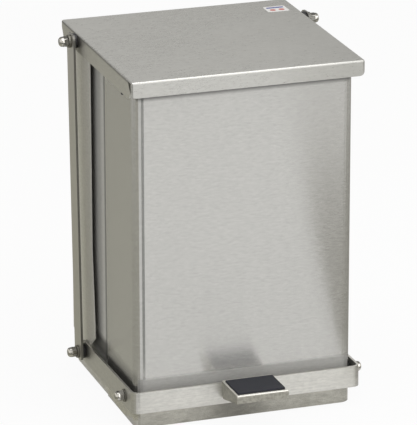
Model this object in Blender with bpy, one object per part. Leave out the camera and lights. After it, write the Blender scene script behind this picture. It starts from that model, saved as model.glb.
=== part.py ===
"""Stainless steel step-on waste receptacle of about 30 litres, square, with a pedal-lifted lid.

The can is two U-shaped wraps over a base pan, with a liner inside and a cover round its back.
A flat steel band goes round the front as a stirrup. It turns on a bolt at each side, carries
the pedal, and pushes a strap up at each side, which lifts the lid about its rear piano hinge.
Metres, +Z up, the front faces -Y. The origin is on the floor under the middle of the whole box.
"""
import math

import bmesh
import bpy
from mathutils import Vector

# Clearances
GAP = 0.0003              # between pieces that touch
RUN = 0.0005              # between flat pieces that slide past each other
BORE_CLEAR = 0.0003       # round a bolt in its hole
SLOT_CLEAR = 0.0006       # round the lid bolt at the limits of its travel

# Body
BODY_WIDTH = 0.2992
BODY_DEPTH = 0.2734
BODY_SHEET = 0.0010
BODY_CORNER = 0.0135      # outer radius of the upright corners
HEIGHT = 0.4770           # floor to the lid's top
LID_TO_BODY = 0.0078      # lid's underside to the body's rim, room for the liner's rim
TOP_RETURN = 0.0100
BASE_RETURN = 0.0080
SEAM_BACK = 0.1230        # body's front to the side seam
LAP = 0.0150              # the wraps' overlap at the seam
PAN_SHEET = 0.0010
PAN_RISE = 0.0160
CORNER_STEPS = 6

# Liner
LINER_WALL = 0.0010
LINER_CLEAR = 0.0010      # to the body's mouth, each side
LINER_TAPER_X = 0.0065
LINER_TAPER_Y = 0.0075
LINER_CORNER = 0.0220
LINER_RIM = 0.0060
LINER_RIM_THICK = 0.0020

# Back cover, with a wing along each side
COVER_SHEET = 0.0010
COVER_BOTTOM = 0.0490
COVER_BACK_DROP = 0.0020  # cover's top edge to the body's rim, at the back
WING_SETBACK = 0.0500     # seam to the wing's front edge
WING_TOE = 0.0110         # how far the wing's lower end reaches forward
WING_TOE_HEIGHT = 0.1900
WING_CHAMFER_Y = 0.0245
WING_CHAMFER_Z = 0.0190
WING_TO_BOLT = 0.0030     # wing's top edge to the lid bolt's head

# Lid
SIDE_OVERHANG = 0.0086
FRONT_OVERHANG = 0.0166
REAR_OVERHANG = 0.0166
LID_SHEET = 0.0012
LID_FRONT_FLANGE = 0.0212
LID_SIDE_FLANGE = 0.0240
LID_BEND = 0.0025
LID_REAR_FLANGE = 0.0040
LID_EAR_SLANT = 0.0120    # how far the side flange's rear end slants forward
LID_FACE_CORNER = 0.0075  # rounded lower corners of the front flange
LID_SIDE_CORNER = 0.0100  # and of the side flanges, at the front
NOTCH_BACK = 0.0105
NOTCH_DEPTH = 0.0132
BEND_STEPS = 3

# Piano hinge
BARREL_RADIUS = 0.0035
PIN_RADIUS = 0.0015
LEAF_SHEET = 0.0010
BODY_LEAF = 0.0280
LID_LEAF_EDGE = 0.0015    # lid leaf's edge to the rear flange
HINGE_INSET = 0.0120      # body's side to the hinge's end
KNUCKLES = 11
KNUCKLE_GAP = 0.0004
BARREL_STEPS = 16

# Stirrup band
BAND_HEIGHT = 0.0290
BAND_THICK = 0.0030
BAND_SIDE_GAP = 0.0055    # body's side to the band's inner face
BAND_FRONT_GAP = 0.0110
BAND_CORNER = 0.0100
PIVOT_SETBACK = 0.0227    # body's front to the band's pivot
PIVOT_HEIGHT = 0.0395
LIFT_ARM = 0.1820         # band's pivot to the strap's lower bolt
REST_TILT = math.radians(1.2)

# Pedal
PLATE_WIDTH = 0.0710
PLATE_REACH = 0.0604      # band's front face to the pedal's lip
PLATE_THICK = 0.0020
PLATE_BEND = 0.0025
LIP_HEIGHT = 0.0108
GUSSET_HEIGHT = 0.0230
GUSSET_RADIUS = 0.0050
PAD_WIDTH = 0.0655
PAD_DEPTH = 0.0510
PAD_THICK = 0.0020
PAD_FROM_LIP = 0.0055
PAD_EDGE = 0.0007

# Straps
STRAP_WIDTH = 0.0300
STRAP_THICK = 0.0030
STRAP_END = 0.0100        # bolt's centre to the strap's end
STRAP_CORNER = 0.0065
LID_BOLT_FROM_REAR = 0.0673
LID_BOLT_DROP = 0.0105    # lid's top to the strap's upper bolt
# The upper bolt's travel in the lid, from the linkage worked out with constant ratios
SLOT_REARWARD = 0.0078
SLOT_FORWARD = 0.0002
SLOT_DOWN = 0.0033
SLOT_UP = 0.0009

# Fasteners
SHANK_RADIUS = 0.0040
HEAD_RADIUS = 0.0065
HEAD_HEIGHT = 0.0035
NUT_FLATS = 0.0127
NUT_HEIGHT = 0.0118
NUT_HEX_HEIGHT = 0.0060
NUT_DOME_RADIUS = 0.0068
NUT_DOME_TOP = 0.0030     # radius of the dome's flat end
NUT_COLLAR = 0.0015       # straight part under the dome
NUT_BORE_DEPTH = 0.0080
SHANK_IN_NUT = 0.0070
WASHER_RADIUS = 0.0087
PIVOT_WASHER = 0.0010
LOWER_WASHER = 0.0022
UPPER_WASHER = 0.0030
SPACER_RADIUS = 0.0100
LOWER_SPACER = 0.0045
BUSHING_RADIUS = 0.0080
ROUND_STEPS = 24
DOME_STEPS = 4

# Lid bumpers
BUMPER_RADIUS = 0.0018
BUMPER_FROM_FRONT = 0.0262

# Places that follow from the sizes, measured from the middle of the body
FRONT_Y = -BODY_DEPTH / 2
BACK_Y = BODY_DEPTH / 2
SIDE_X = BODY_WIDTH / 2
SEAM_Y = FRONT_Y + SEAM_BACK
BODY_TOP = HEIGHT - LID_SHEET - LID_TO_BODY
REAR_SIDE_X = SIDE_X - BODY_SHEET - GAP
REAR_CORNER = BODY_CORNER - BODY_SHEET - GAP
LID_X = SIDE_X + SIDE_OVERHANG
LID_FRONT_Y = FRONT_Y - FRONT_OVERHANG
LID_REAR_Y = BACK_Y + REAR_OVERHANG
LID_CORNER = LID_BEND + 0.0005
FACE_BOTTOM = HEIGHT - LID_FRONT_FLANGE
FLANGE_BOTTOM = HEIGHT - LID_SIDE_FLANGE
BAND_IN_X = SIDE_X + BAND_SIDE_GAP
BAND_OUT_X = BAND_IN_X + BAND_THICK
BAND_FACE_Y = FRONT_Y - BAND_FRONT_GAP - BAND_THICK
BAND_TOP = PIVOT_HEIGHT + BAND_HEIGHT / 2
COVER_X = BAND_IN_X - RUN
COVER_BACK_Y = BACK_Y + GAP + COVER_SHEET
COVER_CORNER = REAR_CORNER + GAP + COVER_SHEET
STRAP_IN_X = BAND_OUT_X + LOWER_SPACER + 2 * GAP
STRAP_OUT_X = STRAP_IN_X + STRAP_THICK
PIVOT_Y = FRONT_Y + PIVOT_SETBACK
HINGE_Y = COVER_BACK_Y + GAP + BARREL_RADIUS
HINGE_Z = HEIGHT - LID_SHEET - GAP - BARREL_RADIUS
LID_BOLT_Y = LID_REAR_Y - LID_BOLT_FROM_REAR
LID_BOLT_Z = HEIGHT - LID_BOLT_DROP
LOWER_BOLT_Y = PIVOT_Y + LIFT_ARM * math.cos(REST_TILT)
LOWER_BOLT_Z = PIVOT_HEIGHT - LIFT_ARM * math.sin(REST_TILT)
STRAP_LEAN = math.atan2(LID_BOLT_Y - LOWER_BOLT_Y, LID_BOLT_Z - LOWER_BOLT_Z)
STRAP_PITCH = math.hypot(LID_BOLT_Y - LOWER_BOLT_Y, LID_BOLT_Z - LOWER_BOLT_Z)
PLATE_TOP = BAND_TOP + GAP + PLATE_THICK
LIP_Y = BAND_FACE_Y - PLATE_REACH
# The tilted pedal's foremost point and the lid's rear edge set where the middle of the box is
PEDAL_FRONT_Y = (PIVOT_Y + (LIP_Y - PIVOT_Y) * math.cos(REST_TILT)
                 + (PLATE_TOP - LIP_HEIGHT - PIVOT_HEIGHT) * math.sin(REST_TILT))
CENTRE_Y = -(PEDAL_FRONT_Y + LID_REAR_Y) / 2

SIDES = (("left", -1), ("right", 1))


def clear_scene():
    for item in list(bpy.data.objects):
        bpy.data.objects.remove(item, do_unlink=True)


def make_material(name, colour, roughness, metallic):
    material = bpy.data.materials.new(name)
    material.use_nodes = True
    shader = material.node_tree.nodes["Principled BSDF"]
    shader.inputs["Base Color"].default_value = (*colour, 1.0)
    shader.inputs["Roughness"].default_value = roughness
    shader.inputs["Metallic"].default_value = metallic
    material.diffuse_color = (*colour, 1.0)
    return material


def make_axis(name, parent, place, turn=0.0):
    """An empty on a joint's axis, turned about X by its parent's rule."""
    axis = bpy.data.objects.new(name, None)
    bpy.context.scene.collection.objects.link(axis)
    axis.parent = parent
    axis.location = place
    axis.rotation_euler = (turn, 0.0, 0.0)
    return axis


def make_object(name, mesh, parent, origin=(0.0, 0.0, 0.0), material=None, smooth=False):
    """Turn a bmesh drawn in the body's frame into an object whose own origin is its parent's."""
    bmesh.ops.translate(mesh, verts=mesh.verts, vec=-Vector(origin))
    bmesh.ops.recalc_face_normals(mesh, faces=mesh.faces)
    data = bpy.data.meshes.new(name)
    mesh.to_mesh(data)
    mesh.free()
    if smooth:
        data.shade_smooth()
        data.set_sharp_from_angle(angle=math.radians(35))
    thing = bpy.data.objects.new(name, data)
    bpy.context.scene.collection.objects.link(thing)
    thing.parent = parent
    if material is not None:
        data.materials.append(material)
    return thing


def add_boolean(target, tool, operation):
    tool.hide_render = True
    tool.display_type = "WIRE"
    step = target.modifiers.new(tool.name, "BOOLEAN")
    step.operation = operation
    step.solver = "EXACT"
    step.object = tool


def arc(centre, radius, start, end, steps):
    """Points along an arc, angles in degrees."""
    points = []
    for i in range(steps + 1):
        angle = math.radians(start + (end - start) * i / steps)
        points.append((centre[0] + radius * math.cos(angle), centre[1] + radius * math.sin(angle)))
    return points


def rounded_rectangle(half_x, half_y, radius, steps=CORNER_STEPS, centre=(0.0, 0.0)):
    points = []
    for sx, sy, start in ((1, 1, 0), (-1, 1, 90), (-1, -1, 180), (1, -1, 270)):
        corner = (centre[0] + sx * (half_x - radius), centre[1] + sy * (half_y - radius))
        points += arc(corner, radius, start, start + 90, steps)
    return points


def loft(mesh, rings, closed=False):
    """Join rings of equal point counts with quads; cap the ends unless the rings close."""
    loops = [[mesh.verts.new(point) for point in ring] for ring in rings]
    count = len(loops[0])
    pairs = list(zip(loops, loops[1:]))
    if closed:
        pairs.append((loops[-1], loops[0]))
    for low, high in pairs:
        for i in range(count):
            j = (i + 1) % count
            mesh.faces.new((low[i], low[j], high[j], high[i]))
    if not closed:
        mesh.faces.new(loops[0])
        mesh.faces.new(list(reversed(loops[-1])))
    return mesh


def add_prism(mesh, outline, x_low, x_high):
    """A side view outline of (y, z) points drawn out along X."""
    rings = [[(x, y, z) for y, z in outline] for x in (x_low, x_high)]
    return loft(mesh, rings)


def add_box(mesh, low, high):
    outline = [(low[1], low[2]), (high[1], low[2]), (high[1], high[2]), (low[1], high[2])]
    return add_prism(mesh, outline, low[0], high[0])


def add_turned(mesh, profile, centre, closed=False, steps=ROUND_STEPS, phase=0.0):
    """A profile of (x, radius) points turned about the X axis through centre, a (y, z) point."""
    rings = []
    for x, radius in profile:
        ring = []
        for i in range(steps):
            angle = 2 * math.pi * (i + phase) / steps
            ring.append((x, centre[0] + radius * math.cos(angle), centre[1] + radius * math.sin(angle)))
        rings.append(ring)
    return loft(mesh, rings, closed)


def u_path(half_width, open_y, wall_y, corner):
    """Outer face of a U in plan, as (point, inward normal), open at open_y."""
    sign = 1 if wall_y > open_y else -1
    stations = [(Vector((-half_width, open_y)), Vector((1, 0)))]
    for side in (-1, 1):
        centre = Vector((side * (half_width - corner), wall_y - sign * corner))
        for i in range(CORNER_STEPS + 1):
            turn = i if side < 0 else CORNER_STEPS - i
            angle = math.radians(90 * turn / CORNER_STEPS)
            outward = Vector((side * math.cos(angle), sign * math.sin(angle)))
            stations.append((centre + corner * outward, -outward))
    stations.append((Vector((half_width, open_y)), Vector((-1, 0))))
    return stations


def sweep(mesh, stations, section):
    """Carry a section of (inward distance, z) points along a plan path."""
    rings = []
    for point, inward in stations:
        rings.append([(*(point + inward * depth), z) for depth, z in section])
    return loft(mesh, rings)


def wrap_section(sheet):
    """A sheet wall with an inward return at its top and bottom."""
    return [(0, 0), (0, BODY_TOP), (TOP_RETURN, BODY_TOP), (TOP_RETURN, BODY_TOP - sheet),
            (sheet, BODY_TOP - sheet), (sheet, sheet), (BASE_RETURN, sheet), (BASE_RETURN, 0)]


def make_front_wrap(root, steel):
    stations = u_path(SIDE_X, SEAM_Y, FRONT_Y, BODY_CORNER)
    body = make_object("front_wrap", sweep(bmesh.new(), stations, wrap_section(BODY_SHEET)), root,
                       material=steel, smooth=True)
    reach = SIDE_X + BODY_SHEET
    hole = add_turned(bmesh.new(), [(-reach, SHANK_RADIUS + BORE_CLEAR), (reach, SHANK_RADIUS + BORE_CLEAR)],
                      (PIVOT_Y, PIVOT_HEIGHT))
    add_boolean(body, make_object("pivot_hole_cutter", hole, root), "DIFFERENCE")


def make_rear_wrap(root, steel):
    """The rear U, narrower by one sheet, with a tongue that laps inside the front wrap."""
    lap_y = SEAM_Y - LAP
    stations = u_path(REAR_SIDE_X, lap_y, BACK_Y, REAR_CORNER)
    body = make_object("rear_wrap", sweep(bmesh.new(), stations, wrap_section(BODY_SHEET)), root,
                       material=steel, smooth=True)
    room = BODY_SHEET + GAP
    ends = bmesh.new()
    for low, high in ((-LAP, room), (BODY_TOP - room, BODY_TOP + LAP)):
        add_box(ends, (-SIDE_X, lap_y - LAP, low), (SIDE_X, SEAM_Y + GAP, high))
    add_boolean(body, make_object("tongue_cutter", ends, root), "DIFFERENCE")


def make_base_pan(root, steel):
    """An upturned tray that stands on the wraps' bottom returns and carries the liner."""
    half_x = REAR_SIDE_X - BODY_SHEET - GAP
    half_y = BACK_Y - BODY_SHEET - GAP
    radius = REAR_CORNER - BODY_SHEET - GAP
    bottom = BODY_SHEET + GAP
    inner_top = PAN_RISE - PAN_SHEET
    levels = [(0, PAN_RISE), (0, bottom), (PAN_SHEET, bottom), (PAN_SHEET, inner_top)]
    rings = []
    for inset, z in levels:
        outline = rounded_rectangle(half_x - inset, half_y - inset, radius - inset)
        rings.append([(x, y, z) for x, y in outline])
    make_object("base_pan", loft(bmesh.new(), rings), root, material=steel, smooth=True)


def make_liner(root, zinc):
    """A tapered tub that stands on the base pan, with its rim over the body's returns."""
    top_x = REAR_SIDE_X - TOP_RETURN - LINER_CLEAR
    top_y = BACK_Y - TOP_RETURN - LINER_CLEAR
    floor_z = PAN_RISE + GAP
    rim_z = BODY_TOP + GAP
    rim_top = rim_z + LINER_RIM_THICK
    levels = [(-LINER_TAPER_X, -LINER_TAPER_Y, floor_z), (0, 0, rim_z), (LINER_RIM, LINER_RIM, rim_z),
              (LINER_RIM, LINER_RIM, rim_top), (-LINER_WALL, -LINER_WALL, rim_top),
              (-LINER_TAPER_X - LINER_WALL, -LINER_TAPER_Y - LINER_WALL, floor_z + LINER_WALL)]
    rings = []
    for grow_x, grow_y, z in levels:
        radius = LINER_CORNER + min(grow_x, grow_y)
        outline = rounded_rectangle(top_x + grow_x, top_y + grow_y, radius)
        rings.append([(x, y, z) for x, y in outline])
    make_object("liner", loft(bmesh.new(), rings), root, material=zinc, smooth=True)


def make_back_cover(root, steel):
    """A U round the body's back, its wings standing off the sides with free front edges."""
    wing_y = SEAM_Y + WING_SETBACK
    toe_y = wing_y - WING_TOE
    heel_y = toe_y + WING_CHAMFER_Y
    open_y = toe_y - COVER_SHEET
    wing_top = LID_BOLT_Z - HEAD_RADIUS - WING_TO_BOLT
    cover_top = BODY_TOP - COVER_BACK_DROP
    section = [(0, COVER_BOTTOM), (0, cover_top), (COVER_SHEET, cover_top), (COVER_SHEET, COVER_BOTTOM)]
    stations = u_path(COVER_X, open_y, COVER_BACK_Y, COVER_CORNER)
    cover = make_object("back_cover", sweep(bmesh.new(), stations, section), root,
                        material=steel, smooth=True)
    far_y = open_y - WING_SETBACK
    back_y = COVER_BACK_Y - COVER_CORNER - COVER_SHEET
    below = COVER_BOTTOM - WING_CHAMFER_Z
    outline = [(far_y, below), (heel_y, below), (heel_y, COVER_BOTTOM),
               (toe_y, COVER_BOTTOM + WING_CHAMFER_Z), (wing_y, WING_TOE_HEIGHT),
               (wing_y, wing_top), (back_y, wing_top), (back_y, BODY_TOP), (far_y, BODY_TOP)]
    reach = COVER_X + COVER_SHEET
    cutter = add_prism(bmesh.new(), outline, -reach, reach)
    add_boolean(cover, make_object("wing_cutter", cutter, root), "DIFFERENCE")


def make_lid(lid_axis, steel):
    """A sheet lid with flanges all round: a shallower one in front, notches, and slanted rear ends."""
    half_x = LID_X
    half_y = (LID_REAR_Y - LID_FRONT_Y) / 2
    middle = (LID_REAR_Y + LID_FRONT_Y) / 2
    levels = []
    for i in range(BEND_STEPS, -1, -1):
        angle = math.radians(90 * i / BEND_STEPS)
        levels.append((LID_BEND * (1 - math.cos(angle)), HEIGHT - LID_BEND * (1 - math.sin(angle))))
    levels.append((0, FLANGE_BOTTOM))
    levels.append((LID_SHEET, FLANGE_BOTTOM))
    inner = LID_BEND - LID_SHEET
    for i in range(BEND_STEPS + 1):
        angle = math.radians(90 * i / BEND_STEPS)
        levels.append((LID_SHEET + inner * (1 - math.cos(angle)),
                       HEIGHT - LID_SHEET - inner * (1 - math.sin(angle))))
    rings = []
    for inset, z in levels:
        outline = rounded_rectangle(half_x - inset, half_y - inset, LID_CORNER - inset, 3, (0, middle))
        rings.append([(x, y, z) for x, y in outline])
    origin = (0, HINGE_Y, HINGE_Z)
    lid = make_object("lid", loft(bmesh.new(), rings), lid_axis, origin, steel, smooth=True)

    reach = LID_X + LID_SHEET
    rear_z = HEIGHT - LID_REAR_FLANGE
    slant_y = LID_REAR_Y - LID_EAR_SLANT * (rear_z - FLANGE_BOTTOM + LID_SHEET) / (rear_z - FLANGE_BOTTOM)
    low_z = FLANGE_BOTTOM - LID_SHEET
    outline = [(LID_REAR_Y, rear_z), (slant_y, low_z), (LID_REAR_Y + LID_BEND, low_z),
               (LID_REAR_Y + LID_BEND, rear_z)]
    rear = add_prism(bmesh.new(), outline, -reach, reach)
    add_boolean(lid, make_object("rear_flange_cutter", rear, lid_axis, origin), "DIFFERENCE")

    arc_x = LID_X - LID_FACE_CORNER
    half = [(reach, low_z), (reach, FACE_BOTTOM + LID_FACE_CORNER)]
    half += arc((arc_x, FACE_BOTTOM + LID_FACE_CORNER), LID_FACE_CORNER, 0, -90, 4)
    outline = half + [(-x, z) for x, z in reversed(half)]
    end_y = LID_FRONT_Y + LID_CORNER + GAP
    face = loft(bmesh.new(), [[(x, y, z) for x, z in outline] for y in (LID_FRONT_Y - LID_SHEET, end_y)])
    add_boolean(lid, make_object("face_cutter", face, lid_axis, origin), "DIFFERENCE")

    arc_y = end_y + LID_SIDE_CORNER
    arc_z = FLANGE_BOTTOM + LID_SIDE_CORNER
    outline = [(end_y - GAP, low_z), (end_y - GAP, arc_z)]
    outline += arc((arc_y, arc_z), LID_SIDE_CORNER, 180, 270, 4)
    outline += [(arc_y, low_z)]
    corners = bmesh.new()
    for _, side in SIDES:
        add_prism(corners, outline, side * (LID_X - LID_SHEET - GAP), side * reach)
    add_boolean(lid, make_object("side_corner_cutter", corners, lid_axis, origin), "DIFFERENCE")

    notch_y = LID_FRONT_Y + LID_SHEET + GAP
    notch_top = HEIGHT - LID_SHEET - GAP
    outline = [(notch_y, notch_top), (notch_y + NOTCH_BACK, notch_top), (notch_y, notch_top - NOTCH_DEPTH)]
    notches = bmesh.new()
    slots = bmesh.new()
    hole = SHANK_RADIUS + SLOT_CLEAR
    low = (LID_BOLT_Y - SLOT_FORWARD - hole, LID_BOLT_Z - SLOT_DOWN - hole)
    high = (LID_BOLT_Y + SLOT_REARWARD + hole, LID_BOLT_Z + SLOT_UP + hole)
    centre = ((low[0] + high[0]) / 2, (low[1] + high[1]) / 2)
    slot = rounded_rectangle((high[0] - low[0]) / 2, (high[1] - low[1]) / 2, SHANK_RADIUS, 4, centre)
    for _, side in SIDES:
        inner_x = side * (LID_X - LID_SHEET - GAP)
        add_prism(notches, outline, inner_x, side * reach)
        add_prism(slots, slot, inner_x - side * LID_SHEET, side * reach)
    add_boolean(lid, make_object("corner_notch_cutter", notches, lid_axis, origin), "DIFFERENCE")
    add_boolean(lid, make_object("bolt_slot_cutter", slots, lid_axis, origin), "DIFFERENCE")


def knuckle_spans(first):
    """X ranges of every second knuckle, from the first one or the next."""
    length = 2 * (SIDE_X - HINGE_INSET)
    pitch = length / KNUCKLES
    return [(-length / 2 + i * pitch, -length / 2 + (i + 1) * pitch) for i in range(first, KNUCKLES, 2)]


def make_leaf(name, parent, origin, plate, others, steel):
    """A leaf plate with its own knuckles: a rod is joined on, bored, and cut where the others turn."""
    half = SIDE_X - HINGE_INSET
    leaf = make_object(name, add_box(bmesh.new(), (-half, *plate[0]), (half, *plate[1])), parent,
                       origin, steel)
    rod = add_turned(bmesh.new(), [(-half, BARREL_RADIUS), (half, BARREL_RADIUS)], (HINGE_Y, HINGE_Z),
                     steps=BARREL_STEPS, phase=0.5)
    add_boolean(leaf, make_object(name + "_rod", rod, parent, origin), "UNION")
    bore = PIN_RADIUS + BORE_CLEAR
    drill = add_turned(bmesh.new(), [(-half - bore, bore), (half + bore, bore)], (HINGE_Y, HINGE_Z),
                       steps=BARREL_STEPS, phase=0.5)
    add_boolean(leaf, make_object(name + "_bore", drill, parent, origin), "DIFFERENCE")
    reach = BARREL_RADIUS + KNUCKLE_GAP
    gaps = bmesh.new()
    for low, high in others:
        end_low = low - (KNUCKLE_GAP / 2 if low > -half + KNUCKLE_GAP else -HINGE_INSET)
        end_high = high + (KNUCKLE_GAP / 2 if high < half - KNUCKLE_GAP else HINGE_INSET)
        if low <= -half + KNUCKLE_GAP:
            end_low = low - HINGE_INSET / 2
        add_box(gaps, (end_low, HINGE_Y - reach, HINGE_Z - reach), (end_high, HINGE_Y + reach, HINGE_Z + reach))
    add_boolean(leaf, make_object(name + "_gaps", gaps, parent, origin), "DIFFERENCE")


def make_hinge(root, lid_axis, steel):
    lid_origin = (0, HINGE_Y, HINGE_Z)
    body_spans = knuckle_spans(0)
    lid_spans = knuckle_spans(1)
    front_y = HINGE_Y - BARREL_RADIUS
    body_plate = ((front_y, HINGE_Z - BODY_LEAF), (front_y + LEAF_SHEET, HINGE_Z))
    make_leaf("hinge_leaf_body", root, (0, 0, 0), body_plate, lid_spans, steel)
    top_z = HINGE_Z + BARREL_RADIUS
    edge_y = LID_REAR_Y - LID_SHEET - LID_LEAF_EDGE
    lid_plate = ((HINGE_Y, top_z - LEAF_SHEET), (edge_y, top_z))
    make_leaf("hinge_leaf_lid", lid_axis, lid_origin, lid_plate, body_spans, steel)
    half = SIDE_X - HINGE_INSET
    pin = add_turned(bmesh.new(), [(-half, PIN_RADIUS), (half, PIN_RADIUS)], (HINGE_Y, HINGE_Z),
                     steps=BARREL_STEPS, phase=0.5)
    make_object("hinge_pin", pin, root, material=steel, smooth=True)


def make_band(pedal_axis, origin, steel):
    """The stirrup: one flat bar bent round the front, its rear ends rounded and drilled."""
    low = PIVOT_HEIGHT - BAND_HEIGHT / 2
    bolt_y = PIVOT_Y + LIFT_ARM
    radius = BAND_HEIGHT / 2
    end_y = bolt_y + radius
    section = [(0, low), (0, BAND_TOP), (BAND_THICK, BAND_TOP), (BAND_THICK, low)]
    stations = u_path(BAND_OUT_X, end_y, BAND_FACE_Y, BAND_CORNER)
    band = make_object("band", sweep(bmesh.new(), stations, section), pedal_axis, origin, steel, smooth=True)
    reach = BAND_OUT_X + BAND_THICK
    edge = BAND_THICK
    outline = arc((bolt_y, PIVOT_HEIGHT), radius, -90, 90, 12)
    outline += [(bolt_y, BAND_TOP + edge), (end_y + edge, BAND_TOP + edge), (end_y + edge, low - edge),
                (bolt_y, low - edge)]
    ends = add_prism(bmesh.new(), outline, -reach, reach)
    add_boolean(band, make_object("band_end_cutter", ends, pedal_axis, origin), "DIFFERENCE")
    holes = bmesh.new()
    for y in (PIVOT_Y, bolt_y):
        bore = SHANK_RADIUS + BORE_CLEAR
        add_turned(holes, [(-reach, bore), (reach, bore)], (y, PIVOT_HEIGHT))
    add_boolean(band, make_object("band_hole_cutter", holes, pedal_axis, origin), "DIFFERENCE")


def make_pedal(pedal_axis, origin, steel, rubber):
    """A folded plate on the band's top edge, with a lip, two tapering gussets and a rubber pad."""
    half = PLATE_WIDTH / 2
    face_y = BAND_FACE_Y - GAP
    rear_y = BAND_FACE_Y + BAND_THICK
    under = PLATE_TOP - PLATE_THICK
    heel_z = PLATE_TOP - GUSSET_HEIGHT
    lip_z = PLATE_TOP - LIP_HEIGHT
    slope = math.degrees(math.atan2(heel_z - lip_z, face_y - LIP_Y))
    corner = (face_y - GUSSET_RADIUS, heel_z + GUSSET_RADIUS)
    outline = [(rear_y, under), (rear_y, PLATE_TOP), (LIP_Y, PLATE_TOP), (LIP_Y, lip_z)]
    outline += arc(corner, GUSSET_RADIUS, slope - 90, 0, 4)
    outline += [(face_y, under)]
    shell = add_prism(bmesh.new(), outline, -half, half)
    edges = []
    for edge in shell.edges:
        a, b = (v.co for v in edge.verts)
        on_top = a.z > PLATE_TOP - GAP and b.z > PLATE_TOP - GAP
        at_rear = a.y > rear_y - GAP and b.y > rear_y - GAP
        if on_top and not at_rear:
            edges.append(edge)
    bmesh.ops.bevel(shell, geom=edges, offset=PLATE_BEND, segments=3, profile=0.5, affect="EDGES")
    plate = make_object("pedal_plate", shell, pedal_axis, origin, steel, smooth=True)
    inside = half - PLATE_THICK
    inner_y = LIP_Y + PLATE_THICK
    low_z = heel_z - PLATE_THICK
    outline = [(inner_y, low_z), (face_y + GAP, low_z), (face_y + GAP, under), (inner_y, under)]
    hollow = add_prism(bmesh.new(), outline, -inside, inside)
    add_boolean(plate, make_object("pedal_cutter", hollow, pedal_axis, origin), "DIFFERENCE")

    pad_front = LIP_Y + PAD_FROM_LIP
    low = PLATE_TOP + GAP
    rings = []
    middle = (0, pad_front + PAD_DEPTH / 2)
    for inset, z in ((0, low), (0, low + PAD_THICK - PAD_EDGE), (PAD_EDGE, low + PAD_THICK)):
        outline = rounded_rectangle(PAD_WIDTH / 2 - inset, PAD_DEPTH / 2 - inset, 2 * PAD_EDGE - inset, 2, middle)
        rings.append([(x, y, z) for x, y in outline])
    make_object("pedal_pad", loft(bmesh.new(), rings), pedal_axis, origin, rubber)


def make_strap(name, side, axis, steel):
    """A flat bar drawn upright from its lower bolt; its axis leans it back to the upper bolt."""
    half_height = STRAP_PITCH / 2 + STRAP_END
    outline = rounded_rectangle(STRAP_WIDTH / 2, half_height, STRAP_CORNER, 4, (0, STRAP_PITCH / 2))
    mesh = add_prism(bmesh.new(), outline, side * STRAP_IN_X, side * STRAP_OUT_X)
    strap = make_object(name, mesh, axis, (side * STRAP_IN_X, 0, 0), steel)
    holes = bmesh.new()
    bore = SHANK_RADIUS + BORE_CLEAR
    for z in (0, STRAP_PITCH):
        add_turned(holes, [(side * (STRAP_IN_X - BORE_CLEAR), bore), (side * (STRAP_OUT_X + BORE_CLEAR), bore)],
                   (0, z))
    cutter = make_object(name + "_hole_cutter", holes, axis, (side * STRAP_IN_X, 0, 0))
    add_boolean(strap, cutter, "DIFFERENCE")


def add_ring(name, side, low_x, high_x, radius, place, parent, origin, material):
    """A washer, spacer or bushing on a bolt, between two distances from the middle."""
    bore = SHANK_RADIUS + BORE_CLEAR
    profile = [(side * low_x, bore), (side * low_x, radius), (side * high_x, radius), (side * high_x, bore)]
    mesh = add_turned(bmesh.new(), profile, place, closed=True)
    make_object(name, mesh, parent, origin, material, smooth=True)


def add_shank(name, side, low_x, high_x, place, parent, origin, material, head):
    """A bolt from inside to outside, with a round head on its inner end, or a plain stud."""
    profile = [(side * low_x, SHANK_RADIUS)]
    if head:
        shoulder = low_x + HEAD_HEIGHT
        dome = [(0.0, 0.55), (0.35, 0.85), (1.0, 1.0)]
        profile = [(side * (low_x + HEAD_HEIGHT * rise), HEAD_RADIUS * share) for rise, share in dome]
        profile.append((side * shoulder, SHANK_RADIUS))
    profile.append((side * high_x, SHANK_RADIUS))
    mesh = add_turned(bmesh.new(), profile, place)
    make_object(name, mesh, parent, origin, material, smooth=True)


def add_acorn_nut(name, side, base_x, place, parent, origin, material):
    """A hexagon with a domed cap, blind bored for the bolt's end."""
    bore = SHANK_RADIUS + BORE_CLEAR
    steps = ROUND_STEPS
    flat = NUT_FLATS / 2

    def ring(x, shape):
        points = []
        for i in range(steps):
            angle = 2 * math.pi * i / steps
            radius = shape(angle)
            points.append((side * x, place[0] + radius * math.cos(angle), place[1] + radius * math.sin(angle)))
        return points

    def hexagon(angle):
        local = (angle + math.pi / 6) % (math.pi / 3) - math.pi / 6
        return flat / math.cos(local)

    rings = [ring(base_x + NUT_BORE_DEPTH, lambda a: bore), ring(base_x, lambda a: bore),
             ring(base_x, hexagon), ring(base_x + NUT_HEX_HEIGHT, hexagon)]
    collar = base_x + NUT_HEX_HEIGHT + NUT_COLLAR
    rings.append(ring(base_x + NUT_HEX_HEIGHT, lambda a: NUT_DOME_RADIUS))
    for i in range(DOME_STEPS + 1):
        angle = math.radians(90 * i / DOME_STEPS)
        rise = (NUT_HEIGHT - NUT_HEX_HEIGHT - NUT_COLLAR) * math.sin(angle)
        radius = NUT_DOME_TOP + (NUT_DOME_RADIUS - NUT_DOME_TOP) * math.cos(angle)
        rings.append(ring(collar + rise, lambda a, r=radius: r))
    make_object(name, loft(bmesh.new(), rings), parent, origin, material, smooth=True)


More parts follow.
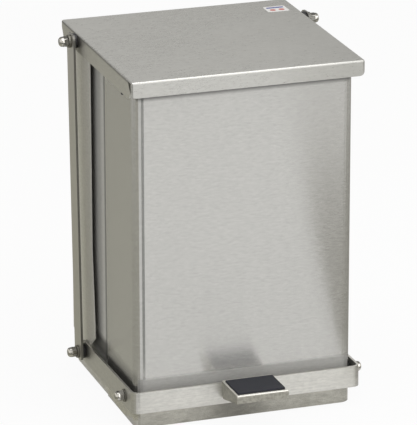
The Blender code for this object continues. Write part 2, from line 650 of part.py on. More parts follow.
def make_pivot(name, side, root, steel, nylon, grey):
    """The bolt that the band turns on, from inside the body to its nut outside the band."""
    place = (PIVOT_Y, PIVOT_HEIGHT)
    inner = SIDE_X - BODY_SHEET - GAP - HEAD_HEIGHT
    outer = BAND_OUT_X + GAP + PIVOT_WASHER + GAP
    centre = (0, 0, 0)
    add_shank("pivot_bolt_" + name, side, inner, outer + SHANK_IN_NUT, place, root, centre, steel, True)
    add_ring("pivot_bushing_" + name, side, SIDE_X + GAP, BAND_IN_X - GAP, BUSHING_RADIUS, place, root,
             centre, nylon)
    add_ring("pivot_washer_" + name, side, BAND_OUT_X + GAP, outer - GAP, WASHER_RADIUS, place, root,
             centre, grey)
    add_acorn_nut("pivot_nut_" + name, side, outer, place, root, centre, steel)


def make_lower_joint(name, side, pedal_axis, origin, steel, nylon, grey):
    """The stud in the band's rear end, with the spacer, washer and nut that hold the strap."""
    place = (PIVOT_Y + LIFT_ARM, PIVOT_HEIGHT)
    outer = STRAP_OUT_X + GAP + LOWER_WASHER + GAP
    add_shank("strap_stud_" + name, side, BAND_IN_X, outer + SHANK_IN_NUT, place, pedal_axis, origin,
              steel, False)
    add_ring("strap_spacer_" + name, side, BAND_OUT_X + GAP, STRAP_IN_X - GAP, SPACER_RADIUS, place,
             pedal_axis, origin, nylon)
    add_ring("strap_washer_" + name, side, STRAP_OUT_X + GAP, outer - GAP, WASHER_RADIUS, place,
             pedal_axis, origin, grey)
    add_acorn_nut("strap_nut_" + name, side, outer, place, pedal_axis, origin, steel)


def make_upper_joint(name, side, axis, steel, nylon, grey):
    """The bolt through the lid's side flange, carried by the strap, with its spacer and nut."""
    place = (0, STRAP_PITCH)
    origin = (side * STRAP_IN_X, 0, 0)
    inner = LID_X - LID_SHEET - GAP - HEAD_HEIGHT
    outer = STRAP_OUT_X + GAP + UPPER_WASHER + GAP
    add_shank("lid_bolt_" + name, side, inner, outer + SHANK_IN_NUT, place, axis, origin, steel, True)
    add_ring("lid_spacer_" + name, side, LID_X + GAP, STRAP_IN_X - GAP, SPACER_RADIUS, place, axis,
             origin, nylon)
    add_ring("lid_washer_" + name, side, STRAP_OUT_X + GAP, outer - GAP, WASHER_RADIUS, place, axis,
             origin, grey)
    add_acorn_nut("lid_nut_" + name, side, outer, place, axis, origin, steel)


def make_bumper(name, side, root, rubber):
    """A rubber button on the body's side that the lid's side flange comes down on."""
    place = (FRONT_Y + BUMPER_FROM_FRONT, FLANGE_BOTTOM - GAP - BUMPER_RADIUS)
    start = SIDE_X + GAP
    tip = LID_X - LID_SHEET / 2
    profile = [(side * start, BUMPER_RADIUS), (side * (tip - LID_SHEET / 2), BUMPER_RADIUS),
               (side * tip, BUMPER_RADIUS * 0.7)]
    mesh = add_turned(bmesh.new(), profile, place, steps=16)
    make_object("lid_bumper_" + name, mesh, root, material=rubber, smooth=True)


def build():
    clear_scene()
    brushed = make_material("brushed stainless", (0.60, 0.60, 0.58), 0.32, 1.0)
    bar = make_material("dull stainless bar", (0.56, 0.55, 0.52), 0.40, 1.0)
    bright = make_material("bright stainless", (0.72, 0.72, 0.70), 0.18, 1.0)
    zinc = make_material("galvanised steel", (0.55, 0.57, 0.58), 0.45, 1.0)
    nylon = make_material("black nylon", (0.020, 0.020, 0.022), 0.45, 0.0)
    grey = make_material("grey washer steel", (0.30, 0.29, 0.27), 0.50, 1.0)
    rubber = make_material("black rubber", (0.018, 0.018, 0.022), 0.70, 0.0)

    root = make_axis("can", None, (0, CENTRE_Y, 0))
    lid_axis = make_axis("lid_axis", root, (0, HINGE_Y, HINGE_Z))
    pivot = (0, PIVOT_Y, PIVOT_HEIGHT)
    pedal_axis = make_axis("pedal_axis", root, pivot, -REST_TILT)

    make_front_wrap(root, brushed)
    make_rear_wrap(root, brushed)
    make_base_pan(root, brushed)
    make_liner(root, zinc)
    make_back_cover(root, brushed)
    make_lid(lid_axis, brushed)
    make_hinge(root, lid_axis, bar)
    make_band(pedal_axis, pivot, bar)
    make_pedal(pedal_axis, pivot, bar, rubber)
    for name, side in SIDES:
        make_pivot(name, side, root, bright, nylon, grey)
        make_lower_joint(name, side, pedal_axis, pivot, bright, nylon, grey)
        place = (side * STRAP_IN_X, LIFT_ARM, 0)
        axis = make_axis("strap_axis_" + name, pedal_axis, place, REST_TILT - STRAP_LEAN)
        make_strap("strap_" + name, side, axis, bar)
        make_upper_joint(name, side, axis, bright, nylon, grey)
        make_bumper(name, side, root, rubber)


build()
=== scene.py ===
"""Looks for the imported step-on waste receptacle: materials, a printed sticker, studio and camera."""

import math

import bmesh
import bpy
from mathutils import Matrix, Vector


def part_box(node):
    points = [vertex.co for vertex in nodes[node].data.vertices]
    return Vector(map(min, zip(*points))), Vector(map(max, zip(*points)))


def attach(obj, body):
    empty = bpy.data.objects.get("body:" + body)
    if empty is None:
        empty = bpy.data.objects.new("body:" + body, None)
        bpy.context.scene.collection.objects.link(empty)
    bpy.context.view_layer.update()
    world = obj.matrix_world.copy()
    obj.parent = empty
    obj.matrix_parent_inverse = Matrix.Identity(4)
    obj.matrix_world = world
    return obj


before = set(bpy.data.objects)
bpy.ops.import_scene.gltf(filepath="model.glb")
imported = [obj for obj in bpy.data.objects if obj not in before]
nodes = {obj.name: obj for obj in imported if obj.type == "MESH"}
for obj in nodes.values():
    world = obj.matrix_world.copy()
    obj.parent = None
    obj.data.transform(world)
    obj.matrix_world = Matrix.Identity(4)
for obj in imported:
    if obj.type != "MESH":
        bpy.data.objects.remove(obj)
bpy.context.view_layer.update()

# Places in the frame, in metres

FRONT_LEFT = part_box("front_wrap")[0]     # the body's front left corner on the floor
SEAM_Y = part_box("front_wrap")[1][1]      # where the front wrap ends on the sides
MIDDLE_Y = (FRONT_LEFT[1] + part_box("rear_wrap")[1][1]) / 2
BAND_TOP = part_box("band")[1][2]
LID_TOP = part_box("lid")[1][2]
FLANGE_FOOT = LID_TOP - 0.0212           # the lower edge of the lid's front flange
FLANGE_GAP = FRONT_LEFT[1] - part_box("lid")[0][1]
# where the painted shadow under the lid's front flange is darkest
FLANGE_SHADOW_LINE = FLANGE_FOOT - 0.33 * FLANGE_GAP
FOOT_LOW = 0.020                      # the foot's scuffs, yellowing and painted pedal shadow are full up to this height
FOOT_HIGH = 0.052                       # and gone from this height
PEDAL_SHADOW_X = -0.012                     # the painted shadow of the pedal on the foot is darkest here

# Base colours

STEEL = (0.613, 0.608, 0.588)
# The lid's top (LID) and side flanges (FLANGE) are one sheet: the top's darker tone and the flanges' lighter
# one are painted shade and light.
LID = (0.520, 0.516, 0.492)
FLANGE = (0.640, 0.630, 0.588)
BAR = (0.740, 0.730, 0.690)
STRAP = (0.560, 0.548, 0.508)
HINGE = (0.660, 0.650, 0.620)
COVER = (0.820, 0.810, 0.765)
STAIN = (0.970, 0.955, 0.885)            # multiplies the steel where it is yellowed
PAPER = (0.800, 0.790, 0.780)
BLUE_PRINT = (0.085, 0.110, 0.330)
RED_PRINT = (0.560, 0.170, 0.150)

# Finish of the steels

SHEET_BUMP = 0.0000007                   # depth of the grain in sheet steel
BAR_BUMP = 0.00002                       # and in bar and plate, which are rougher
DULL_ROUGHNESS = 0.60                    # where steel has lost its sheen
DULL_METALLIC = 0.30


# Node helpers

class Nodes:
    """The node tree of a material or a world, with short ways to add nodes."""

    def __init__(self, owner):
        owner.use_nodes = True
        self.tree = owner.node_tree

    def add(self, kind, **values):
        node = self.tree.nodes.new(kind)
        for key, value in values.items():
            setattr(node, key, value)
        return node

    def feed(self, socket, value):
        """Sets a socket to a number or a colour, or links an output to it."""
        if isinstance(value, (int, float)):
            socket.default_value = value
        elif isinstance(value, tuple):
            socket.default_value = (*value, 1.0)
        else:
            self.tree.links.new(value, socket)

    def part(self, vector, axis):
        """One axis of a position or a direction."""
        node = self.add("ShaderNodeSeparateXYZ")
        self.feed(node.inputs[0], vector)
        return node.outputs[axis]

    def math(self, operation, a, b=None):
        node = self.add("ShaderNodeMath", operation=operation)
        self.feed(node.inputs[0], a)
        if b is not None:
            self.feed(node.inputs[1], b)
        return node.outputs[0]

    def times(self, a, b):
        return self.math("MULTIPLY", a, b)

    def remap(self, value, low, high, to_low, to_high):
        """Goes from to_low to to_high while the value goes from low to high, and no further."""
        node = self.add("ShaderNodeMapRange")
        self.feed(node.inputs["Value"], value)
        for name, number in zip(("From Min", "From Max", "To Min", "To Max"), (low, high, to_low, to_high)):
            node.inputs[name].default_value = number
        return node.outputs["Result"]

    def mix(self, factor, a, b):
        """Mixes two numbers or outputs."""
        node = self.add("ShaderNodeMix", data_type="FLOAT")
        for index, value in zip((0, 2, 3), (factor, a, b)):
            self.feed(node.inputs[index], value)
        return node.outputs[0]

    def mix_colour(self, factor, a, b, blend="MIX"):
        node = self.add("ShaderNodeMix", data_type="RGBA", blend_type=blend)
        for index, value in zip((0, 6, 7), (factor, a, b)):
            self.feed(node.inputs[index], value)
        return node.outputs[2]

    def tinted(self, colour, tone):
        """A colour times a grey tone."""
        return self.mix_colour(1.0, colour, tone, "MULTIPLY")

    def glow(self, colour):
        node = self.add("ShaderNodeEmission")
        self.feed(node.inputs["Color"], colour)
        return node.outputs[0]

    def show(self, surface):
        self.feed(self.tree.nodes["Material Output"].inputs["Surface"], surface)


class Shader(Nodes):
    """A material with one principled shader, which varies with the place on the object."""

    def __init__(self, name):
        self.material = bpy.data.materials.new(name)
        super().__init__(self.material)
        self.bsdf = self.tree.nodes["Principled BSDF"]
        texture = self.add("ShaderNodeTexCoord")
        self.coords = texture.outputs["Object"]
        self.facing = texture.outputs["Normal"]

    def give(self, name, value):
        """Sets or links one input of the principled shader."""
        self.feed(self.bsdf.inputs[name], value)

    def by_place(self, axis, low, high, to_low, to_high):
        """A value that changes between two places on an axis."""
        return self.remap(self.part(self.coords, axis), low, high, to_low, to_high)

    def by_facing(self, axis, low, high, to_low, to_high):
        """A value that changes with how far a face looks along an axis."""
        return self.remap(self.part(self.facing, axis), low, high, to_low, to_high)

    def by_facing_either(self, axis, low, high, to_low, to_high):
        """The same for faces that look either way along the axis."""
        turned = self.math("ABSOLUTE", self.part(self.facing, axis))
        return self.remap(turned, low, high, to_low, to_high)

    def only(self, mask, tone):
        """A tone where the mask is 1, and no change where it is 0."""
        return self.mix(mask, 1.0, tone)

    def noise(self, scale, detail=3.0, rough=0.6, place=(0, 0, 0)):
        """A noise with its own scale on each axis; its values lie mostly between 0.3 and 0.7."""
        mapping = self.add("ShaderNodeMapping")
        mapping.inputs["Scale"].default_value = scale
        mapping.inputs["Location"].default_value = place
        self.feed(mapping.inputs["Vector"], self.coords)
        node = self.add("ShaderNodeTexNoise")
        self.feed(node.inputs["Vector"], mapping.outputs["Vector"])
        for name, number in (("Scale", 1.0), ("Detail", detail), ("Roughness", rough)):
            node.inputs[name].default_value = number
        return node.outputs["Fac"]

    def spread(self, noise, to_low, to_high):
        """Spreads a noise over a range of values."""
        return self.remap(noise, 0.3, 0.7, to_low, to_high)

    def spread_strongly(self, noise, to_low, to_high):
        """The same, with more places at the ends of the range."""
        return self.remap(noise, 0.35, 0.65, to_low, to_high)

    def bump(self, height, distance):
        node = self.add("ShaderNodeBump")
        self.feed(node.inputs["Distance"], distance)
        self.feed(node.inputs["Strength"], 1.0)
        self.feed(node.inputs["Height"], height)
        self.give("Normal", node.outputs["Normal"])

    def tangent(self, axis, turn, amount):
        node = self.add("ShaderNodeTangent", direction_type="RADIAL", axis=axis)
        self.give("Tangent", node.outputs["Tangent"])
        self.give("Anisotropic", amount)
        self.give("Anisotropic Rotation", turn)


def front_faces(s):
    """A mask of the faces that look to the front or to the back."""
    return s.math("GREATER_THAN", s.math("ABSOLUTE", s.part(s.facing, "Y")), 0.7)


def brushed(name, colour, grain, level, anisotropic, bump=SHEET_BUMP, contrast=0.10, shades=(), stain=None,
            metallic=1.0, dull=None):
    """Brushed steel. The grain makes the streaks, and level is its roughness. Shades darken or lighten
    some places, stain yellows some, and dull is a mask of the places that have lost their sheen. What
    anisotropic holds is the tangent's axis, its turn and the amount."""
    s = Shader(name)
    s.give("Metallic", metallic)
    streak = grain(s)
    cloud = s.noise((5, 5, 4), place=(0.3, 0.1, 0.7))
    tone = s.math("ADD", s.spread(streak, 1.0 - contrast, 1.0 + contrast), s.spread(cloud, -0.02, 0.02))
    for shade in shades:
        tone = s.times(tone, shade(s))
    shown = s.tinted(colour, tone)
    if stain is not None:
        shown = s.mix_colour(stain(s), shown, STAIN, "MULTIPLY")
    s.give("Base Color", shown)
    rough = s.math("ADD", s.spread(streak, level - 0.015, level + 0.02), s.spread(cloud, -0.01, 0.01))
    if dull is not None:
        lost = dull(s)
        rough = s.mix(lost, rough, DULL_ROUGHNESS)
        s.give("Metallic", s.mix(lost, metallic, DULL_METALLIC))
    s.give("Roughness", rough)
    s.bump(streak, bump)
    s.tangent(*anisotropic)
    return s.material


def set_material(material, *names):
    for name in names:
        thing = nodes[name]
        thing.data.materials.clear()
        thing.data.materials.append(material)


def set_side_material(material, name):
    """Gives the faces that look left and right a second material."""
    mesh = nodes[name].data
    mesh.materials.append(material)
    for face in mesh.polygons:
        if abs(face.normal.x) > 0.9:
            face.material_index = 1


# Grains

def level_grain(s):
    """Fine lines round the upright sheets, at a fixed height."""
    return s.mix(0.5, s.noise((190, 190, 740), 2.0, 0.7), s.noise((110, 110, 400), 2.0, 0.6, (2, 1, 0)))


def lid_grain(s):
    """Lines along X on the top and on the front flange."""
    on_top = s.mix(0.5, s.noise((190, 560, 190), 2.0, 0.7), s.noise((110, 300, 110), 2.0, 0.6, (2, 1, 0)))
    return s.mix(front_faces(s), on_top, level_grain(s))


def band_grain(s):
    """Long lines at a fixed height, with coarser marks."""
    return s.mix(0.5, s.noise((14, 14, 700), 3.0, 0.7), s.noise((160, 160, 420), 3.0, 0.6, (4, 2, 0)))


def strap_grain(s):
    """Long upright lines, with coarser marks."""
    return s.mix(0.5, s.noise((700, 700, 10), 3.0, 0.7), s.noise((300, 300, 90), 3.0, 0.6, (4, 2, 0)))


# Painted shade and light, and wear, on the body

def on_front(s, tone):
    """A tone that only the faces to the front and the back have."""
    return s.only(front_faces(s), tone)


def above_band(s, tone):
    """A tone that only the places above the band have."""
    return s.only(s.by_place("Z", BAND_TOP - 0.008, BAND_TOP - 0.004, 0.0, 1.0), tone)


def seam_shade(s):
    """Darkens the lapped sheet just behind the side seam, above the band: painted shade of the step at the
    seam, with grime in it.
    """
    return above_band(s, s.by_place("Y", SEAM_Y + 0.0095, SEAM_Y + 0.0120, 0.42, 1.0))


def slot_shade(s):
    """Darkens the sides beside the cover's wings, above the band: painted shade of the wings."""
    return above_band(s, s.by_place("Y", SEAM_Y + 0.0190, SEAM_Y + 0.0300, 1.0, 0.74))


def gap_shade(s):
    """Darkens the sides just above the band, more so behind the seam: painted shade of the gap between the
    band and the body.
    """
    darkest = s.by_place("Y", SEAM_Y + 0.002, SEAM_Y + 0.004, 0.62, 0.20)
    painted_shade = s.mix(s.by_place("Z", BAND_TOP + 0.014, BAND_TOP + 0.024, 0.0, 1.0), darkest, 1.0)
    painted_shade = s.only(s.by_place("Z", BAND_TOP - 0.010, BAND_TOP, 0.0, 1.0), painted_shade)
    return s.only(s.by_facing_either("X", 0.6, 0.9, 0.0, 1.0), painted_shade)


def side_shade_seam_highlight(s):
    """Darkens the front wrap's sides against its front, a painted shade, but not the edge at the seam, which
    stays lighter as a painted highlight.
    """
    painted_light = s.by_place("Y", SEAM_Y - 0.0040, SEAM_Y - 0.0015, 0.875, 1.00)
    return s.only(s.by_facing_either("X", 0.3, 0.7, 0.0, 1.0), painted_light)


def foot_scuff_and_shadow(s):
    """Scuffs the foot of the can with a random tone, and darkens it behind the pedal with a painted shadow of
    the pedal.
    """
    scuff = s.spread_strongly(s.noise((60, 60, 150), 3.0, 0.7, (5, 0, 3)), 0.94, 1.20)
    beside = s.math("ABSOLUTE", s.math("SUBTRACT", s.part(s.coords, "X"), PEDAL_SHADOW_X))
    scuff = s.times(scuff, s.remap(beside, 0.010, 0.050, 0.70, 1.0))
    return s.mix(s.by_place("Z", FOOT_LOW, FOOT_HIGH, 0.0, 1.0), scuff, 1.0)


def foot_stain(s):
    """A mask of the foot, which is yellowed."""
    return s.by_place("Z", FOOT_LOW, FOOT_HIGH, 1.0, 0.0)


def flange_shadow(s):
    """Darkens a thin line on the front just under the lid's front flange: a painted shadow of the flange."""
    below = s.by_place("Z", FLANGE_SHADOW_LINE - 0.0060, FLANGE_SHADOW_LINE - 0.0008, 1.0, 0.36)
    above = s.by_place("Z", FLANGE_SHADOW_LINE + 0.0012, FLANGE_SHADOW_LINE + 0.0050, 0.0, 1.0)
    return on_front(s, s.mix(above, below, 1.0))


def low_front_shade(s):
    """Darkens the front from the foot to just above the band: painted shade of the band, the gap behind it
    and the shaded floor, as the front reflects them.
    """
    return on_front(s, s.by_place("Z", BAND_TOP + 0.0100, BAND_TOP + 0.0150, 0.75, 1.0))


def scuffed_strip(s):
    """A mask of the strip above the band that shoes have dulled, and less so for some way above it."""
    strong = s.by_place("Z", BAND_TOP + 0.0095, BAND_TOP + 0.0135, 0.85, 0.0)
    weak = s.by_place("Z", BAND_TOP + 0.0160, BAND_TOP + 0.0480, 0.16, 0.0)
    from_below = s.by_place("Z", BAND_TOP - 0.0200, BAND_TOP - 0.0120, 0.0, 1.0)
    return s.times(front_faces(s), s.times(from_below, s.math("MAXIMUM", strong, weak)))


# Painted shade and light, and duller places, on the lid, the band, the pedal and the straps

def inner_faces(s):
    """A mask of the band's inner faces, which look at the can."""
    from_middle = s.math("SUBTRACT", s.part(s.coords, "Y"), MIDDLE_Y)
    outward = s.math("ADD", s.times(s.part(s.coords, "X"), s.part(s.facing, "X")),
                     s.times(from_middle, s.part(s.facing, "Y")))
    return s.remap(outward, -0.10, -0.02, 1.0, 0.0)


def inner_shade(s):
    """Darkens the band's inner faces at the sides and lightens the one at the front: painted shade and light,
    which the body's sheets reflect.
    """
    return s.only(inner_faces(s), s.by_facing_either("X", 0.3, 0.7, 1.15, 0.42))


def turned_shade(s):
    """Darkens the faces that look left and right: a painted shade."""
    return s.by_facing_either("X", 0.10, 0.50, 1.0, 0.74)


def plate_stain(s):
    """A mask of the pedal plate's steep faces, which are yellowed."""
    return s.by_facing("Z", 0.3, 0.8, 1.0, 0.0)


def lip_shade_and_top_light(s):
    """Darkens the pedal's lip and gussets in blotches, a painted shade, and lightens its level face, painted
    light.
    """
    dull = s.spread_strongly(s.noise((230, 230, 230), 3.0, 0.7, (1, 6, 2)), 0.42, 0.64)
    return s.mix(s.by_facing("Z", 0.3, 0.8, 0.0, 1.0), dull, 1.30)


def flange_inner_shade(s):
    """Darkens the inner face of the lid's front flange: painted shade, which the front below it reflects."""
    in_front = s.math("LESS_THAN", s.part(s.coords, "Y"), 0.0)
    return s.only(s.times(in_front, s.by_facing("Y", 0.2, 0.6, 0.0, 1.0)), 0.35)


def bend_highlight(s):
    """Brightens the lid's front bend with a painted highlight, and its front flange with painted light."""
    turn = s.math("ABSOLUTE", s.times(s.part(s.facing, "Y"), s.part(s.facing, "Z")))
    return s.times(s.remap(turn, 0.10, 0.48, 1.0, 1.22), on_front(s, 1.10))


def bend_shade(s):
    """Darkens the line where the lid's side flange bends down: a painted shade."""
    return s.by_place("Z", LID_TOP - 0.0042, LID_TOP - 0.0018, 1.0, 0.62)


def edge_shade(s):
    """Darkens the sawn edges of the straps."""
    return s.by_facing_either("X", 0.3, 0.7, 0.42, 1.0)


# Body sheets

sheet = brushed("brushed sheet", STEEL, level_grain, level=0.18, anisotropic=("Z", 0.25, 0.95),
                shades=(side_shade_seam_highlight, foot_scuff_and_shadow, flange_shadow, low_front_shade, gap_shade), stain=foot_stain,
                metallic=0.88, dull=scuffed_strip)
rear = brushed("brushed rear sheet", STEEL, level_grain, level=0.42, anisotropic=("Z", 0.25, 0.3),
               shades=(seam_shade, slot_shade, foot_scuff_and_shadow, gap_shade), stain=foot_stain, metallic=0.50)
cover = brushed("brushed cover sheet", COVER, level_grain, level=0.34, anisotropic=("Z", 0.25, 0.6),
                metallic=0.75)
set_material(sheet, "front_wrap", "base_pan")
set_material(rear, "rear_wrap")
set_material(cover, "back_cover")

# Lid

lid_steel = brushed("brushed lid", LID, lid_grain, level=0.28, anisotropic=("X", 0.0, 1.0), contrast=0.08,
                    shades=(flange_inner_shade, bend_highlight))
# The side flanges' lighter tone is painted light on the lid's own sheet.
flange_steel = brushed("brushed flange", FLANGE, level_grain, level=0.40, anisotropic=("Z", 0.25, 0.5),
                       shades=(bend_shade,))
set_material(lid_steel, "lid")
set_side_material(flange_steel, "lid")

# Band, pedal, straps and hinge

band_steel = brushed("stirrup bar", BAR, band_grain, level=0.38, anisotropic=("Z", 0.25, 0.3),
                     bump=1.5 * BAR_BUMP, contrast=0.16, shades=(turned_shade, inner_shade), dull=inner_faces)
plate_steel = brushed("pedal plate", BAR, band_grain, level=0.34, anisotropic=("Z", 0.25, 0.3),
                      bump=BAR_BUMP, shades=(lip_shade_and_top_light,), stain=plate_stain)
strap_steel = brushed("strap bar", STRAP, strap_grain, level=0.40, anisotropic=("Z", 0.0, 0.3),
                      bump=BAR_BUMP, shades=(edge_shade,))
hinge_steel = brushed("hinge sheet", HINGE, band_grain, level=0.40, anisotropic=("Z", 0.25, 0.3),
                      bump=BAR_BUMP)
set_material(band_steel, "band")
set_material(plate_steel, "pedal_plate")
set_material(strap_steel, "strap_left", "strap_right")
set_material(hinge_steel, "hinge_leaf_body", "hinge_leaf_lid", "hinge_pin")


# Fasteners, spacers, rubber and liner

def make_fastener(name, colour, rough, painted_light=False):
    """Turned steel; with painted light, a piece gets painted reflections in bands: dark on top, bright just
    below that, dark round its middle, lighter below and dark underneath.
    """
    s = Shader(name)
    s.give("Metallic", 1.0)
    smear = s.noise((260, 260, 260))
    tone = s.spread(smear, 0.86, 1.04)
    if painted_light:
        upper = s.times(s.by_facing("Z", 0.05, 0.25, 0.50, 1.36), s.by_facing("Z", 0.55, 0.85, 1.0, 0.32))
        lower = s.times(s.by_facing("Z", -0.30, -0.10, 1.9, 1.0), s.by_facing("Z", -0.80, -0.55, 0.4, 1.0))
        tone = s.times(tone, s.times(upper, lower))
    s.give("Base Color", s.tinted(colour, tone))
    s.give("Roughness", s.spread(smear, rough - 0.06, rough + 0.08))
    s.bump(smear, 0.00004)
    return s.material


def make_plastic(name, colour, rough, grain, depth):
    """Moulded nylon or rubber, with a speckle whose scale and depth are given."""
    s = Shader(name)
    speckle = s.noise((grain, grain, grain), 4.0)
    s.give("Base Color", s.tinted(colour, s.spread(speckle, 0.75, 1.25)))
    s.give("Roughness", s.spread(speckle, rough - 0.08, rough + 0.08))
    s.bump(speckle, depth)
    return s.material


def make_zinc():
    """Galvanised sheet with its spangle."""
    s = Shader("galvanised liner")
    s.give("Metallic", 1.0)
    cells = s.add("ShaderNodeTexVoronoi")
    s.feed(cells.inputs["Scale"], 110.0)
    s.feed(cells.inputs["Vector"], s.coords)
    grey = s.add("ShaderNodeSeparateColor")
    s.feed(grey.inputs[0], cells.outputs["Color"])
    spangle = grey.outputs[0]
    s.give("Base Color", s.tinted((0.58, 0.60, 0.61), s.remap(spangle, 0.0, 1.0, 0.90, 1.05)))
    s.give("Roughness", s.remap(spangle, 0.0, 1.0, 0.44, 0.52))
    s.bump(s.noise((90, 90, 90), 4.0), 0.00006)
    return s.material


bright = make_fastener("bright fasteners", (0.72, 0.70, 0.65), 0.09, painted_light=True)
# The washers' dark grey is painted shade of the narrow gaps they sit in.
washer = make_fastener("grey washers", (0.26, 0.25, 0.22), 0.42)
nylon = make_plastic("black nylon", (0.022, 0.022, 0.024), 0.42, 500, 0.00003)
rubber = make_plastic("black rubber", (0.013, 0.015, 0.025), 0.62, 900, 0.00006)
set_material(make_zinc(), "liner")
set_material(rubber, "pedal_pad", "lid_bumper_left", "lid_bumper_right")
for side in ("left", "right"):
    set_material(bright, "pivot_bolt_" + side, "pivot_nut_" + side, "strap_stud_" + side,
                 "strap_nut_" + side, "lid_bolt_" + side, "lid_nut_" + side)
    set_material(nylon, "pivot_bushing_" + side, "strap_spacer_" + side, "lid_spacer_" + side)
    set_material(washer, "pivot_washer_" + side, "strap_washer_" + side, "lid_washer_" + side)


# Sticker on the lid

LABEL_X = 0.1298
LABEL_Y = 0.1370
LABEL_HALF_WIDTH = 0.0150
LABEL_HALF_DEPTH = 0.0128
LABEL_CORNER = 0.0020
LABEL_STEPS = 6                          # edges round each corner
LABEL_RISE = 0.00012                     # its top above the lid
LABEL_SINK = 0.00010                     # its underside below the lid's top
BAR_BACK = 0.0065                        # the printed bar's place behind the label's middle
BAR_HALF_WIDTH = 0.0120
BAR_HALF_DEPTH = 0.0028
DOT_SIDE = 0.0062                        # the printed dots' places beside and in front of it
DOT_FRONT = 0.0040
DOT_RADIUS = 0.0042


def beyond(s, axis, place):
    """How far a point lies beyond a place on an axis."""
    return s.math("SUBTRACT", s.part(s.coords, axis), place)


def printed_bar(s):
    """A mask of the bar that is printed on the label."""
    across = s.math("ABSOLUTE", beyond(s, "X", LABEL_X))
    along = s.math("ABSOLUTE", beyond(s, "Y", LABEL_Y + BAR_BACK))
    return s.times(s.math("LESS_THAN", across, BAR_HALF_WIDTH), s.math("LESS_THAN", along, BAR_HALF_DEPTH))


def printed_dot(s, shift):
    """A mask of a dot that is printed on the label, so far to the right of its middle."""
    across = beyond(s, "X", LABEL_X + shift)
    along = beyond(s, "Y", LABEL_Y - DOT_FRONT)
    square = s.math("ADD", s.times(across, across), s.times(along, along))
    return s.math("LESS_THAN", square, DOT_RADIUS * DOT_RADIUS)


def make_label_material():
    """Printed vinyl: white, with a blue bar and two red dots."""
    s = Shader("printed label")
    paper = s.noise((420, 420, 420))
    colour = s.tinted(PAPER, s.spread(paper, 0.94, 1.03))
    colour = s.mix_colour(printed_bar(s), colour, BLUE_PRINT)
    for shift in (-DOT_SIDE, DOT_SIDE):
        colour = s.mix_colour(printed_dot(s, shift), colour, RED_PRINT)
    s.give("Base Color", colour)
    s.give("Roughness", s.spread(paper, 0.38, 0.50))
    s.bump(paper, 0.00001)
    return s.material


def place_new(name, data):
    """Puts a new object with this data into the scene."""
    thing = bpy.data.objects.new(name, data)
    bpy.context.scene.collection.objects.link(thing)
    return thing


def make_label():
    """A small sticker near the lid's rear right corner, with rounded corners."""
    shape = bmesh.new()
    outline = []
    for right, back, start in ((1, 1, 0), (-1, 1, 90), (-1, -1, 180), (1, -1, 270)):
        bend_x = LABEL_X + right * (LABEL_HALF_WIDTH - LABEL_CORNER)
        bend_y = LABEL_Y + back * (LABEL_HALF_DEPTH - LABEL_CORNER)
        for step in range(LABEL_STEPS + 1):
            angle = math.radians(start + 90 * step / LABEL_STEPS)
            x = bend_x + LABEL_CORNER * math.cos(angle)
            y = bend_y + LABEL_CORNER * math.sin(angle)
            outline.append(shape.verts.new((x, y, LID_TOP - LABEL_SINK)))
    bottom = shape.faces.new(outline)
    raised = bmesh.ops.extrude_face_region(shape, geom=[bottom])["geom"]
    for vert in raised:
        if isinstance(vert, bmesh.types.BMVert):
            vert.co.z = LID_TOP + LABEL_RISE
    bmesh.ops.recalc_face_normals(shape, faces=shape.faces)
    mesh = bpy.data.meshes.new("lid_label")
    shape.to_mesh(mesh)
    shape.free()
    mesh.materials.append(make_label_material())
    label = place_new("lid_label", mesh)
    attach(label, "lid")


make_label()


# Studio

WHITE = (1.0, 1.0, 1.0)
FLOOR_REACH = 12.0
FLOOR_DROP = 0.0005                      # keeps the floor just under the object
CARD_LIFT = 0.001                        # keeps the floor cards just above the floor
CORNER_INSET = 0.0027                    # how far inside the body's faces the cards' bearings start
LEFT_CORNER = (FRONT_LEFT[0] + CORNER_INSET, FRONT_LEFT[1] + CORNER_INSET)


def make_flat(name, corners):
    """A single flat face, given by its corners."""
    mesh = bpy.data.meshes.new(name)
    mesh.from_pydata(corners, [], [tuple(range(len(corners)))])
    return place_new(name, mesh)


def make_floor():
    """A pale floor that shows white to the camera and to reflections, and keeps the object's shadow."""
    reach = FLOOR_REACH
    corners = [(-reach, -reach, 0), (reach, -reach, 0), (reach, reach, 0), (-reach, reach, 0)]
    floor = make_flat("floor", corners)
    floor.location = (0, 0, -FLOOR_DROP)
    s = Shader("floor")
    s.give("Base Color", (0.86, 0.86, 0.86))
    s.give("Roughness", 0.9)
    path = s.add("ShaderNodeLightPath")
    share = 0.0
    for ray, weight in (("Is Camera Ray", 0.93), ("Is Glossy Ray", 0.26), ("Is Transmission Ray", 0.26)):
        share = s.math("MAXIMUM", share, s.times(path.outputs[ray], weight))
    blend = s.add("ShaderNodeMixShader")
    for socket, value in zip(blend.inputs, (share, s.bsdf.outputs[0], s.glow(WHITE))):
        s.feed(socket, value)
    s.show(blend.outputs[0])
    floor.data.materials.append(s.material)


def make_card(name, corners, colour):
    """A studio card, given by its corners, that only reflections see."""
    card = make_flat(name, corners)
    material = bpy.data.materials.new(name)
    s = Nodes(material)
    s.show(s.glow(colour))
    card.data.materials.append(material)
    card.visible_camera = False
    card.visible_diffuse = False
    card.visible_shadow = False


def on_floor(points):
    """Corners of a card that lies on the floor."""
    return [(x, y, CARD_LIFT) for x, y in points]


def wedge(left, right, near, far):
    """Corners of a floor card between two bearings from the left corner, in degrees right of the front."""
    points = []
    for bearing, reach in ((left, near), (left, far), (right, far), (right, near)):
        angle = math.radians(bearing)
        points.append((LEFT_CORNER[0] + reach * math.sin(angle), LEFT_CORNER[1] - reach * math.cos(angle)))
    return on_floor(points)


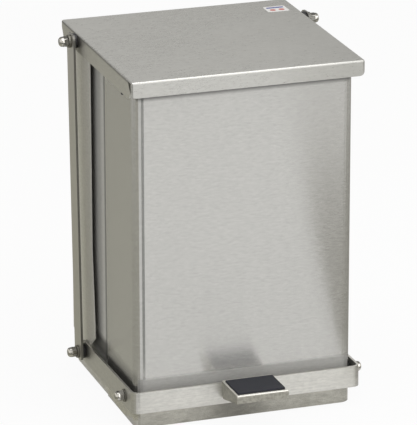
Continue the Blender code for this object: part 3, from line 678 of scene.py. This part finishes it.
def make_lamp(name, place, target, size, power):
    light = bpy.data.lights.new(name, "AREA")
    light.shape = "RECTANGLE"
    light.size, light.size_y = size
    light.energy = power
    lamp = place_new(name, light)
    lamp.location = place
    lamp.rotation_mode = "QUATERNION"
    lamp.rotation_quaternion = (Vector(place) - Vector(target)).to_track_quat("Z", "Y")


def make_world(level, top):
    """A studio that is light at eye level and darker overhead, and shows plain white behind the object."""
    world = bpy.data.worlds.new("studio")
    bpy.context.scene.world = world
    s = Nodes(world)
    height = s.part(s.add("ShaderNodeTexCoord").outputs["Generated"], "Z")
    lit = s.mix_colour(s.remap(height, 0.35, 1.0, 0.0, 1.0), level, top)
    shown = s.mix_colour(s.add("ShaderNodeLightPath").outputs["Is Camera Ray"], lit, WHITE)
    s.feed(s.tree.nodes["Background"].inputs["Color"], shown)


def make_cards():
    """Cards on the floor, and one upright card behind the object."""
    for_left_side = wedge(left=-44, right=-178, near=0.05, far=3.5)
    make_card("left_card", for_left_side, (0.450, 0.441, 0.377))
    for_left_bend = wedge(left=12, right=-20, near=0.12, far=2.60)
    make_card("dark_card", for_left_bend, (0.27, 0.28, 0.27))
    near_edge = [(0.250, 0.900), (0.250, -0.120), (0.184, -0.230), (0.262, -0.490), (0.342, -0.795),
                 (0.400, -0.960), (0.450, -1.050), (0.600, -1.120)]
    for_front_right = on_floor(near_edge + [(1.600, -1.120), (1.600, 0.900)])
    make_card("side_card", for_front_right, (0.38, 0.37, 0.33))
    behind = [(-0.45, 2.2, -0.2), (-1.6, 2.0, -0.2), (-1.6, 2.0, 1.1), (-0.45, 2.2, 1.1)]
    make_card("back_card", behind, (0.10, 0.10, 0.09))


make_floor()
make_world(level=(0.675, 0.665, 0.645), top=(0.36, 0.36, 0.35))
make_cards()
make_lamp("key", place=(1.2, -2.4, 1.8), target=(0, 0, 0.25), size=(3.0, 2.2), power=24)
make_lamp("top", place=(0.0, -0.4, 2.6), target=(0, 0, 0.3), size=(1.9, 1.9), power=22)


# Camera

YAW, PITCH, ROLL = 0.3252, 0.3320, -0.0015      # radians
AIM = Vector((0, MIDDLE_Y, 0.238535))           # the object's middle
DISTANCE = 5.05667
SLIDE = (-0.005229, -0.00441)                   # metres across and up from the line to the middle
LONG_SIDE = 425                                 # pixels along the photograph's longer side
FOCAL_PIXELS = 3805.169
SHIFT_PIXELS = (1.673, 2.406)
SENSOR = 36.0                                   # millimetres along the longer side


def make_camera():
    """The camera fitted to the photograph."""
    back = Vector((-math.sin(YAW) * math.cos(PITCH), -math.cos(YAW) * math.cos(PITCH), math.sin(PITCH)))
    right = Vector((math.cos(YAW), -math.sin(YAW), 0))
    up = back.cross(right)
    across = math.cos(ROLL) * right + math.sin(ROLL) * up
    upward = -math.sin(ROLL) * right + math.cos(ROLL) * up
    data = bpy.data.cameras.new("camera")
    data.sensor_width = SENSOR
    data.lens = SENSOR * FOCAL_PIXELS / LONG_SIDE
    data.shift_x = SHIFT_PIXELS[0] / LONG_SIDE
    data.shift_y = SHIFT_PIXELS[1] / LONG_SIDE
    camera = place_new("camera", data)
    camera.location = AIM + DISTANCE * back + SLIDE[0] * across + SLIDE[1] * upward
    camera.rotation_mode = "QUATERNION"
    camera.rotation_quaternion = Matrix((across, upward, back)).transposed().to_quaternion()
    bpy.context.scene.camera = camera


make_camera()
bpy.context.scene.view_settings.view_transform = "Standard"
